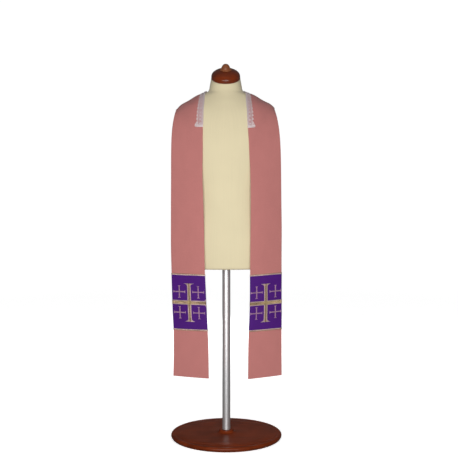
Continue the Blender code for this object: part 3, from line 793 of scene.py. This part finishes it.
def stitched_bar(side, up, middle, turned, reach, bar, serifs, finishes):
    """One bar of a cross in relief: a field of couched gold between two satin-stitched borders, which sweep
    out to the serifs. Middle is the cross's place out, as a share of the width; turned bars lie across."""
    half, serif, flare, border = bar / 2, *serifs["size"], serifs["border"]
    along = even(-reach[0], reach[1], THREAD / 4)
    arm = np.where(along < 0, *reach)
    has_serif = np.where(along < 0, *serifs["ends"])
    sweep = np.clip(1 - (arm - np.abs(along)) / flare, 0, 1)
    wide = (half + (serif / 2 - half) * sweep**CROSS_SWEEP * has_serif)[:, None]
    fill = even(border - half, half - border, COUCHING[0] / 4)
    field = fill[-1]
    edge = np.linspace(1, 0, 6)[:-1]
    across = np.hstack([
        -field - (wide - field) * edge,
        np.broadcast_to(fill, (len(along), len(fill))),
        field + (wide - field) * edge[::-1],
    ])
    crown = np.concatenate([edge, np.zeros(len(fill)), edge[::-1]])
    crown = np.sqrt(np.clip(1 - (2 * crown - 1) ** 2, 0, 1))
    along = np.broadcast_to(along[:, None], across.shape)
    base, rise, threads = SATIN_RELIEF
    satin = base + rise * crown + threads * np.abs(np.sin(math.pi * along / THREAD)) * (crown > 0)
    in_field = np.abs(across) <= field * 1.0001
    height = np.where(in_field, couched(along, across, *FIELD_RELIEF), satin)
    height[:, [0, -1]] = height[[0, -1], :] = GOLD_EDGE

    x, y = (along, across) if turned else (across, along)
    zone = np.ones(across.shape[1] - 1, int)
    zone[len(edge) : len(edge) + len(fill) - 1] = 0
    points = on_panel(side, up, middle, x, y, height)
    return lay(side, "bar", points, (across, along), finishes, turned, zone=zone)


def make_square(side, up, middle, size, finishes):
    """The small raised square of couched gold over the crossing."""
    place_in = even(-size / 2, size / 2, COUCHING[0] / 4)
    u, v = np.meshgrid(place_in, place_in)
    from_edge = size / 2 - np.maximum(np.abs(u), np.abs(v))
    height = couched(u, v, *SQUARE_RELIEF) * np.clip(from_edge / SQUARE_EDGE, 0, 1) ** 0.5
    return lay(side, "square", on_panel(side, up, middle, u, v, height), (u, v), finishes)


def make_crosses(side, word, large, level_finish, square_finish, small):
    """The large cross and the four crosslets. The large one's level bar is turned under at the cloth's edges,
    but at the left half's neck edge it stops in a serif."""
    up = HEM_TO_PANEL + PANEL_HEIGHT / 2
    width = float(width_at(side, rib_at(side, up)))
    cross = (up - CROSS_DROP[side], CROSS_MIDDLE)
    serifs = {"size": (CROSS_SERIF, CROSS_FLARE), "border": CROSS_BORDER, "ends": (1, 1)}
    tall = stitched_bar(side, *cross, False, (CROSS_ARM_UP, CROSS_ARM_UP), CROSS_UPRIGHT, serifs, large)
    turned_under = (math.pi - 1) * HALF + CROSS_TURNED
    inner_end = -LEVEL_SHORT if side == LEFT else turned_under
    reach = (width * CROSS_MIDDLE + inner_end, width * (1 - CROSS_MIDDLE) + turned_under)
    size = (CROSS_SERIF * LEVEL_SERIF, CROSS_FLARE * LEVEL_SERIF)
    serifs = {"size": size, "border": LEVEL_BORDER, "ends": (side == LEFT, 0)}
    level = stitched_bar(side, *cross, True, reach, CROSS_BAR, serifs, level_finish)
    square = make_square(side, *cross, CROSS_UPRIGHT, square_finish)
    place(join(f"cross_{word}_gold", [tall, level, square]), "gold_thread", f"cross_{word}")

    serifs = {"size": (CROSSLET_SERIF, CROSSLET_FLARE), "border": CROSSLET_BORDER, "ends": (1, 1)}
    bar = ((CROSSLET_ARM, CROSSLET_ARM), CROSSLET_BAR, serifs)
    for number, (x, y) in enumerate(((-1, 1), (1, 1), (-1, -1), (1, -1)), start=1):
        centre = (up + y * CROSSLET_UP, 0.5 + x * CROSSLET_ACROSS / width)
        parts = [stitched_bar(side, *centre, turned, *bar, small[x]) for turned in (False, True)]
        parts.append(make_square(side, *centre, CROSSLET_SQUARE, small[x][:1]))
        place(join(f"crosslet_{word}_{number}_gold", parts), "gold_thread", f"crosslet_{word}_{number}")


# -------- lace
def lace_length(side):
    """The length of the neck edge from the seam in the back to the lace's end in front."""
    table = HALVES[side]
    front = table["ribs"] > SHOULDER_RIB
    return float(np.interp(LACE_DROP[side], NECK_POINT - table["neck"][front, 2], table["edge"][front]))


LACE_LENGTHS = {side: lace_length(side) for side in (LEFT, RIGHT)}
LACE_ENDS = (-LACE_LENGTHS[LEFT], LACE_LENGTHS[RIGHT])


def on_lace(places):
    """Points for places (along, down, lift) on the lace: along is 0 at the seam and below 0 on the left."""
    along, down, lift = places.reshape(-1, 3).T
    points = np.empty((len(along), 3))
    for side in (LEFT, RIGHT):
        mine = (along < 0) == (side == LEFT)
        if not mine.any():
            continue
        length, d = np.abs(along[mine]), down[mine]
        rib = np.interp(length, HALVES[side]["edge"], HALVES[side]["ribs"])
        to_end = np.clip((LACE_LENGTHS[side] - length) / LACE_END, 0, 1)
        widths = np.array(LACE_WIDTHS[side])
        drawn_in = hermite(RIBS[: len(widths)], widths, rib) / LACE_WIDTH
        rib = np.maximum(0, rib - LACE_END_TURN * d / LACE_WIDTH * (1 - to_end))
        points[mine] = on_half(side, rib, d * drawn_in - LACE_OVERHANG, LACE_LIFT + lift[mine])
    return points


def scallop(along):
    """How far down from the neck edge the lace reaches."""
    return LACE_WIDTH - SCALLOP_DEPTH * np.cos(math.pi * along / SCALLOP_PITCH) ** 2


class Thread:
    """One mesh of many threads, each a tube round a path of places. Put turns the places to points."""

    def __init__(self, put):
        self.put = put
        self.places, self.faces, self.count = [], [], 0

    def add(self, paths, half_width, half_height=None, sides=4, closed=False, twist=0.0):
        """Paths is an array of (paths, places, 3)."""
        step = np.roll(paths, -1, 1) - np.roll(paths, 1, 1) if closed else np.gradient(paths, axis=1)
        step = step[..., :2] / np.maximum(np.linalg.norm(step[..., :2], axis=2, keepdims=True), 1e-12)
        sideways = grid(-step[..., 1], step[..., 0], 0.0)
        number, size = paths.shape[:2]
        turns = (np.arange(sides) + 0.5) * 2 * math.pi / sides
        swell = 1 + twist * np.sin(np.arange(size) * 2.4)[:, None, None]
        tube = paths[:, :, None] + sideways[:, :, None] * (half_width * np.cos(turns))[:, None] * swell
        tube[..., 2] += (half_height or half_width) * np.sin(turns)
        first = quads(size + closed, sides, True) % (size * sides)
        block = first + (np.arange(number) * size * sides)[:, None, None]
        self.places.append(tube.reshape(-1, 3))
        self.faces.append(block.reshape(-1, 4) + self.count)
        self.count += number * size * sides

    def mesh(self, name, finish):
        places, faces = np.vstack(self.places), np.vstack(self.faces)
        return new_mesh(name, self.put(places), faces, finish, places[faces.ravel()][:, :2])


def ovals(centres, down, long, wide, count, lift=0.0):
    turns = np.arange(count) * 2 * math.pi / count
    return grid(centres[:, None] + long * np.cos(turns), down + wide * np.sin(turns), lift)


def honeycomb(top, bottom, size, centres):
    """The net: the threads of regular hexagons between two lines, open inside the wheels at these centres."""
    along = np.arange(*LACE_ENDS, size * math.sqrt(3))
    corner = np.array([[math.sin(math.pi / 3 * k), -math.cos(math.pi / 3 * k)] for k in range(4)]) * size
    found = []
    for row, down in enumerate(np.arange(top, LACE_WIDTH, size * 1.5)):
        centre = (along + (row % 2) * size * math.sqrt(3) / 2)[:, None]
        for a, b in zip(corner, corner[1:]):
            found.append(grid(centre + [a[0], b[0]], down + np.array([a[1], b[1]]), 0.0))
    found = np.concatenate(found)
    x, y = found[..., 0], found[..., 1]
    inside = (y > top - 0.001) & (y < bottom(x))
    inside &= (x > LACE_ENDS[0] + 0.0004) & (x < LACE_ENDS[1] - 0.0004)
    from_wheel = np.min(np.abs(x[:, :1] - centres), axis=1) / WHEEL_HOLE[0]
    in_wheel = from_wheel**2 + ((y[:, 0] - WHEEL_DOWN) / WHEEL_HOLE[1]) ** 2 < 1
    return found[inside.all(axis=1) & ~in_wheel]


def make_lace(finish, edge_finish):
    """The lace: a solid tape at the neck, openwork bars, and net with a chain of wheels. Its edge has dense
    scallops with picots, and a rosette at each lower corner."""
    lace, border = Thread(on_lace), Thread(on_lace)
    along = spaced(*LACE_ENDS, 0.0025)
    for down, half_width in LACE_CORDS:
        lace.add(grid(along, down, 0.0)[None], half_width, half_width * CORD_FLATNESS, sides=5)
    across = np.linspace(LACE_CORDS[0][0], LACE_CORDS[-1][0], 6)
    posts = spaced(LACE_ENDS[0] + 0.001, LACE_ENDS[1] - 0.001, LOOP_PITCH)
    lace.add(grid(posts[:, None], across, 0.0), 0.00038)

    middles = np.concatenate([
        side * np.arange(SCALLOP_PITCH / 2, LACE_LENGTHS[side] - SCALLOP_PITCH * 0.4, SCALLOP_PITCH)
        for side in (LEFT, RIGHT)
    ])
    lace.add(honeycomb(NET_TOP, lambda s: scallop(s) - 0.0018, NET_SIZE, middles), 0.00025)
    wheels, hubs = (ovals(middles, WHEEL_DOWN, *size, 24 // n, PROUD) for size, n in ((WHEEL, 1), (HUB, 2)))
    lace.add(wheels, 0.00056, 0.00045, sides=6, closed=True, twist=CORDED)
    lace.add(hubs, 0.00045, 0.00040, sides=5, closed=True)
    for turn in np.arange(6) * math.pi / 3:
        long, wide = np.array([HUB, WHEEL_HOLE]).T
        spokes = (middles[:, None] + math.cos(turn) * long, WHEEL_DOWN + math.sin(turn) * wide, 0.0)
        lace.add(grid(*spokes), 0.00024)
    between = np.concatenate([middles + SCALLOP_PITCH / 2, middles - SCALLOP_PITCH / 2])
    between = np.unique(between.round(5))
    between = between[(between > LACE_ENDS[0] + 0.003) & (between < LACE_ENDS[1] - 0.003)]
    for eye in EYES:
        lace.add(ovals(between, WHEEL_DOWN, *eye, 14, PROUD), 0.00052, 0.00040, sides=5, closed=True)

    along = spaced(*LACE_ENDS, 0.0007)
    for inward, half_width in SCALLOP_CORDS:
        wave = grid(along, scallop(along) - inward, PROUD)[None]
        lace.add(wave, half_width, half_width * 0.7, sides=5, twist=CORDED)
    ring = {"closed": True, "twist": 0.1}
    for radius in SCALLOP_RINGS:
        head = ovals(middles, LACE_WIDTH - 0.0040, radius * 1.15, radius, 20, 0.0006 - DISH * radius)
        border.add(head, 0.00072, 0.00060, sides=5, **ring)
    picots = spaced(LACE_ENDS[0] + 0.0012, LACE_ENDS[1] - 0.0012, LOOP_PITCH)
    loops = ovals(picots, (scallop(picots) + 0.0001)[:, None], *PICOT, 8)
    border.add(loops, 0.00028, closed=True)

    across = np.linspace(-0.0004, LACE_WIDTH - 0.006, 24)
    for end, side in zip(LACE_ENDS, (LEFT, RIGHT)):
        for inward in np.arange(0.0008, 0.0125, 0.0016):
            cord = grid(end - side * inward, across, PROUD)[None]
            border.add(cord, 0.0007, 0.0005, sides=6, twist=CORDED)
        for down, stretch, radii in ROSETTES:
            middle = np.array([end - side * (radii[-1] * stretch + 0.0006)])
            for radius in radii:
                petal = ovals(middle, down, radius * stretch, radius, 24, 0.0009 - DISH * radius)
                border.add(petal, 0.00085, 0.0006, sides=6, **ring)
    return lace.mesh("lace_collar_thread", finish), border.mesh("lace_collar_edge", edge_finish)


def make_stitches(side, word, finish):
    """The small slanted stitches that fell both edges of the lining side."""

    def on_back_of_half(places):
        inward, up, lift = places.reshape(-1, 3).T
        rib = rib_at(side, up)
        width = width_at(side, rib)
        return on_half(side, rib, behind(width, np.where(inward < 0, width + inward, inward)), lift)

    up = np.arange(0.009, HALVES[side]["up"][0] - 0.004, STITCH)[:, None]
    inward, rise, lift = np.array(STITCH_PATH).T
    thread = Thread(on_back_of_half)
    for sign in (1, -1):
        thread.add(grid(sign * (LINING_INSET + inward), up + rise, lift), 0.00016)
    return thread.mesh(f"stitches_{word}", finish)


# -------- the dress form and its stand
def lathe(name, profile, finish, segments=128, sharp=35):
    """A turned piece about Z from (radius, height) down its outer side, closed on the axis."""
    turns = np.linspace(0, 2 * math.pi, segments + 1)[:-1]
    radius, height = np.array(profile, float).T[..., None]
    points = grid(radius * np.cos(turns), radius * np.sin(turns), height).reshape(-1, 3)
    faces = quads(len(profile), segments, True)[:, ::-1]
    return weld(new_mesh(name, points, faces, finish), sharp=sharp)


def arc(centre, radius, start, end, steps):
    """Profile points on an arc; angles are in degrees from outward."""
    turns = np.radians(np.linspace(start, end, steps + 1))
    return [(centre[0] + radius * math.cos(t), centre[1] + radius * math.sin(t)) for t in turns]


def make_cap(finish):
    """The neck's turned cap: a low dome, a fine line cut above the rim, and a rounded rim."""
    base = GAP + CAP_RIM
    dome = [(CAP_RADIUS * math.sin(t), base + CAP_DOME * math.cos(t)) for t in np.linspace(0, 1.44, 34)]
    radius, height = dome[-1]
    profile = dome + [(radius - 0.0002, height - 0.0005), (radius + 0.0003, height - 0.0011)]
    profile += [(CAP_RADIUS, base - 0.0002), (CAP_RADIUS + 0.0002, base - 0.004)]
    profile += arc((CAP_RADIUS - 0.0018, GAP + 0.0018), 0.0018, 0, -90, 6) + [(0, GAP)]
    cap = lathe("neck_cap_wood", profile, finish)
    cap.data.transform(CAP_PLACE @ Matrix.Diagonal((1, 1 / math.cos(CAP_TILT), 1, 1)))
    return cap


def make_knob(finish):
    """The bell-shaped knob, whose foot flares out onto the dome in a thin lip."""
    top = GAP * 2 + CAP_RIM + CAP_DOME
    radius, rise = np.array(KNOB_PROFILE).T
    knots = np.arange(len(rise), dtype=float)
    fine = np.linspace(0, knots[-1], 60)
    side = list(zip(hermite(knots, radius, fine), top + hermite(knots, rise, fine, level_start=True)))
    foot = arc((0.0241, top - 0.0008), 0.0006, 60, -90, 5) + [(0.0120, top - 0.0010), (0.0, top - 0.0002)]
    knob = lathe("cap_knob_wood", side + foot, finish, segments=96)
    knob.data.transform(CAP_PLACE)
    return knob


def make_form(finish):
    """The torso in its jersey cover, seamed at both sides and the middle of the back, and cut for the cap."""
    seams = np.array([0, 0.5, 1.0]) * math.pi
    near = np.add.outer((-0.022, -0.011, 0.0, 0.011, 0.022), seams).ravel() % (2 * math.pi)
    turns = np.linspace(0, 2 * math.pi, 129)
    turns = np.unique(np.concatenate([turns, near, [2 * math.pi]]).round(6))
    low, high = FORM_LOW, FORM_HIGH
    bend = low + FORM_BEND * (1 - np.cos(np.linspace(0, math.pi / 2, 6)))
    torso = spaced(low + FORM_BEND, FORM_FINE_FROM, FORM_ROW)
    rise = np.concatenate([bend[:-1], torso[:-1], spaced(FORM_FINE_FROM, high, FORM_FINE_ROW)])[:, None]
    in_bend = (1 - (rise - low) / FORM_BEND).clip(0, 1)
    rounding = np.sqrt(np.clip(1 - in_bend**2, 0, 1)) * FORM_BEND - FORM_BEND
    n = form_size(rise, "squareness")
    c, s = np.cos(turns), np.sin(turns)
    depth = np.where(s < 0, form_size(rise, "front"), form_size(rise, "back"))
    x = np.sign(c) * np.abs(c) ** (2 / n) * form_size(rise, "half_width")
    y = np.sign(s) * np.abs(s) ** (2 / n) * depth
    from_seam = np.abs((turns - seams[:, None] + math.pi) % (2 * math.pi) - math.pi).min(axis=0)
    groove = SEAM[0] * np.exp(-((from_seam / SEAM[1]) ** 2))
    groove += WELT[0] * np.exp(-(((from_seam - WELT[1]) / WELT[2]) ** 2))
    out = 1 + (groove + rounding) / np.hypot(x, y)
    points = grid(x * out + form_middle(rise), y * out, rise + NECK_POINT).reshape(-1, 3)

    def close(bm):
        bmesh.ops.holes_fill(bm, edges=bm.edges, sides=0)
        plane = {"plane_co": CAP_CENTRE, "plane_no": CAP_PLACE.to_3x3() @ Vector((0, 0, 1))}
        geometry = bm.verts[:] + bm.edges[:] + bm.faces[:]
        cut = bmesh.ops.bisect_plane(bm, geom=geometry, clear_outer=True, **plane)
        rim = [e for e in cut["geom_cut"] if isinstance(e, bmesh.types.BMEdge)]
        bmesh.ops.edgeloop_fill(bm, edges=rim)

    return weld(skin("form_cover", points, (turns * FORM_AROUND, rise), finish), close, sharp=45)


def make_base(finish):
    """The turned base: a boss for the pole, a shallow dish, a bead before the rim, and a rounded rim."""
    foot = ((0.0310, 0.0060), (0.0336, 0.0090), (0.0375, 0.0108), (0.0430, 0.0119))
    bead = ((0.0210, 0.0184), (0.0200, 0.0178), (0.0185, 0.0178), (0.0175, 0.0184), (0.0090, 0.0182))
    profile = [(0, BOSS_HEIGHT), (0.0265, BOSS_HEIGHT)]
    profile += arc((0.0285, BOSS_HEIGHT - 0.0022), 0.0022, 90, 0, 6)
    profile += [(radius, BOSS_HEIGHT - below) for radius, below in foot]
    profile += [(0.1000, 0.0194), (0.1600, 0.0188)]
    profile += [(STAND_RADIUS - inward, height) for inward, height in bead]
    profile += arc((STAND_RADIUS - 0.0082, 0.0100), 0.0082, 90, -52, 14)
    profile += arc((STAND_RADIUS - 0.0060, 0.0024), 0.0024, -20, -90, 4) + [(0, 0)]
    return lathe("stand_base_wood", profile, finish, segments=192)


def make_pole(finish):
    low, high = BOSS_HEIGHT + GAP, NECK_POINT + FORM_LOW - GAP
    profile = [(0, high)] + [(POLE_RADIUS, h) for h in spaced(high, low, 0.05)] + [(0, low)]
    return lathe("stand_pole_tube", profile, finish, segments=64)


# -------- floor, light and camera
def make_stage():
    """A pale floor that sweeps up all round into a dome and glows, less near the stand, which paints a pool
    of shade round it. Only the camera sees it, so it throws no light.
    """
    dome, sweep = 6.5, 2.2
    profile = arc((0, sweep), dome, 90, 0, 24) + arc((dome - sweep, sweep), sweep, 0, -90, 12)[1:] + [(0, 0)]
    colors = {"base_color": (0.86, 0.86, 0.86, 1), "emission_color": (1, 1, 1, 1)}
    paper = Finish("studio paper", roughness=0.9, specular_ior_level=0.1, **colors)
    place_there = {0: paper.node("NewGeometry")["Position"]}
    away = paper.value("VectorMath", place_there, "Value", operation="LENGTH")
    # painted shade: the paper glows less near the stand
    paper.set("Emission Strength", away.spread(*PAPER_GLOW_AND_PAINTED_SHADE))
    backdrop = lathe("backdrop", profile, paper.material, sharp=60)
    backdrop.visible_diffuse = backdrop.visible_glossy = backdrop.visible_shadow = False


def add(name, data, at, aim):
    """Puts a light or a camera in the scene, turned along a direction."""
    obj = bpy.data.objects.new(name, data)
    obj.location = at
    obj.rotation_euler = aim.to_track_quat("-Z", "Y").to_euler()
    bpy.context.scene.collection.objects.link(obj)
    return obj


def add_light(name, at, target, size, power, reflected=True):
    light = bpy.data.lights.new(name, "AREA")
    light.shape = "RECTANGLE"
    light.size, light.size_y = size
    light.energy = power
    obj = add(name, light, at, Vector(target) - Vector(at))
    obj.visible_camera = False
    obj.visible_glossy = reflected


def make_lights():
    add_light("key", (-0.05, -2.6, 0.88), (0, 0, 0.87), (2.2, 1.2), 71)
    add_light("back", (0.3, 3.0, 1.3), (0, 0, 0.9), (2.0, 1.4), 50, reflected=False)
    add_light("top", (0, -0.4, 3.2), (0, 0, 1.4), (1.4, 1.4), 5, reflected=False)
    world = bpy.data.worlds.new("studio")
    bpy.context.scene.world = world
    world.use_nodes = True
    background = world.node_tree.nodes["Background"].inputs
    background["Color"].default_value = (1, 1, 1, 1)
    background["Strength"].default_value = 0.11


def make_camera():
    """Level with the chest, looking a little down."""
    camera = bpy.data.cameras.new("camera")
    camera.sensor_width = 36
    camera.lens = 36 * CAMERA_AWAY / (PHOTO_WIDTH * PIXEL)
    aim = Vector((0, CAMERA_AWAY, -CAMERA_AWAY * math.tan(CAMERA_PITCH)))
    bpy.context.scene.camera = add("camera", camera, (CAMERA_X, -CAMERA_AWAY, CAMERA_HEIGHT), aim)
    bpy.context.scene.view_settings.view_transform = "Standard"


# -------- everything
def make_stole():
    matt = {"specular_ior_level": 0.15}
    rose = woven("rose cloth", (0.485, 0.18, 0.166), 0.00052, roughness=0.8, sheen_weight=0.16, **matt)
    rose_lining = woven("rose lining", (0.42, 0.15, 0.135), 0.00034, 0.5, roughness=0.5, **matt)
    sewing = woven("rose thread", (0.55, 0.22, 0.20), 0.0002, roughness=0.5, **matt)
    satin = {"skew": 0.33, "slub": 0.16, "mottle": 0.14, "roughness": 0.5, "specular_ior_level": 0.06}
    purple = woven("purple satin", (0.066, 0.0110, 0.165), 0.00036, **satin)
    deep, thread = (0.10, 0.068, 0.035), (0.0020, THREAD)
    # painted shade: the upright's gold is a darker copy of the level bars', for the light its upright threads
    # catch less
    upright = gold("gold field", (0.595, 0.42, 0.245), deep, COUCHING, 0.45, hollow=0.35)
    # the right level bar's far end is painted with glints: painted highlights
    level = {
        LEFT: gold("level gold field", (0.76, 0.53, 0.32), deep, COUCHING, 0.45, dull=0.24),
        RIGHT: gold("gold field with painted glints", (0.83, 0.59, 0.32), deep, COUCHING, 0.45, painted_glints=1.2, dull=0.30),
    }
    crossing = gold("crossing gold", (0.64, 0.48, 0.21), deep, COUCHING, 0.45)
    border = gold("pale gold", (0.64, 0.46, 0.43), (0.28, 0.18, 0.18), (0.0040, THREAD), 0.25)
    small = {  # the crosslets' fields and borders: 1 is away from the neck edge
        1: [
            gold("rose gold field", (0.53, 0.33, 0.38), (0.215, 0.12, 0.17), COUCHING, 0.45),
            gold("rose gold", (0.53, 0.31, 0.43), (0.235, 0.125, 0.22), thread, 0.35),
        ],
        -1: [
            gold("dull gold field", (0.48, 0.285, 0.36), (0.185, 0.095, 0.155), COUCHING, 0.45),
            gold("dull gold", (0.47, 0.265, 0.40), (0.205, 0.105, 0.19), thread, 0.35),
        ],
    }
    pale = gold("braid gold", (0.80, 0.60, 0.52), (0.40, 0.27, 0.24), BRAID_TWIST, 0.20)
    tan = gold("tan gold", (0.52, 0.33, 0.24), (0.24, 0.13, 0.09), BRAID_TWIST, 0.30)
    # the lace is painted greyer round the back of the neck: painted shade
    cotton = {"slub": 0.08, "mottle": 0.05, "handled": 0.15, "roughness": 0.8, "sheen_weight": 0.2}
    white = woven("white lace", (0.70, 0.61, 0.63), 0.0004, **cotton)
    whiter = woven("white edging", (0.71, 0.59, 0.59), 0.0004, **cotton)

    for side, word in WORDS.items():
        cloth = place(make_half(side, word, [rose, rose_lining]), "rose_cloth", f"stole_{word}")
        place(make_stitches(side, word, sewing), "rose_cloth")
        panel = place(make_panel(side, word, purple), "purple_cloth", f"panel_{word}")
        for which in ("bottom", "top"):
            place(make_braid(side, word, which, [pale, tan]), "gold_thread", f"braid_{word}_{which}")
        make_crosses(side, word, [upright, border], [level[side], border], crossing, small)
    lace, edge = (place(piece, "white_lace", "lace_collar") for piece in make_lace(white, whiter))


def make_dress_form():
    cream = jersey("cream jersey", (0.72, 0.63, 0.41))
    lacquer = {"roughness": 0.45, "specular_ior_level": 0.05, "coat_weight": 1.0, "coat_roughness": 0.25}
    stained = wood("stained wood", (0.230, 0.031, 0.0020), (0.090, 0.012, 0.0010), **lacquer)
    rubbed = wood("knob wood", (0.42, 0.150, 0.058), (0.19, 0.054, 0.019), **lacquer)
    lacquer.update(coat_weight=0.2, coat_roughness=0.3)
    worn = wood("stained base wood", (0.220, 0.034, 0.0060), (0.085, 0.013, 0.0025), **lacquer)
    place(make_form(cream), "cream_jersey", "form_body")
    place(make_cap(stained), "stained_wood", "neck_cap")
    place(make_knob(rubbed), "knob_wood", "cap_knob")
    place(make_base(worn), "stained_wood", "stand_base")
    place(make_pole(brushed_steel("pole steel")), "pole_steel", "stand_pole")


make_camera()
make_stage()
make_lights()
make_dress_form()
make_stole()
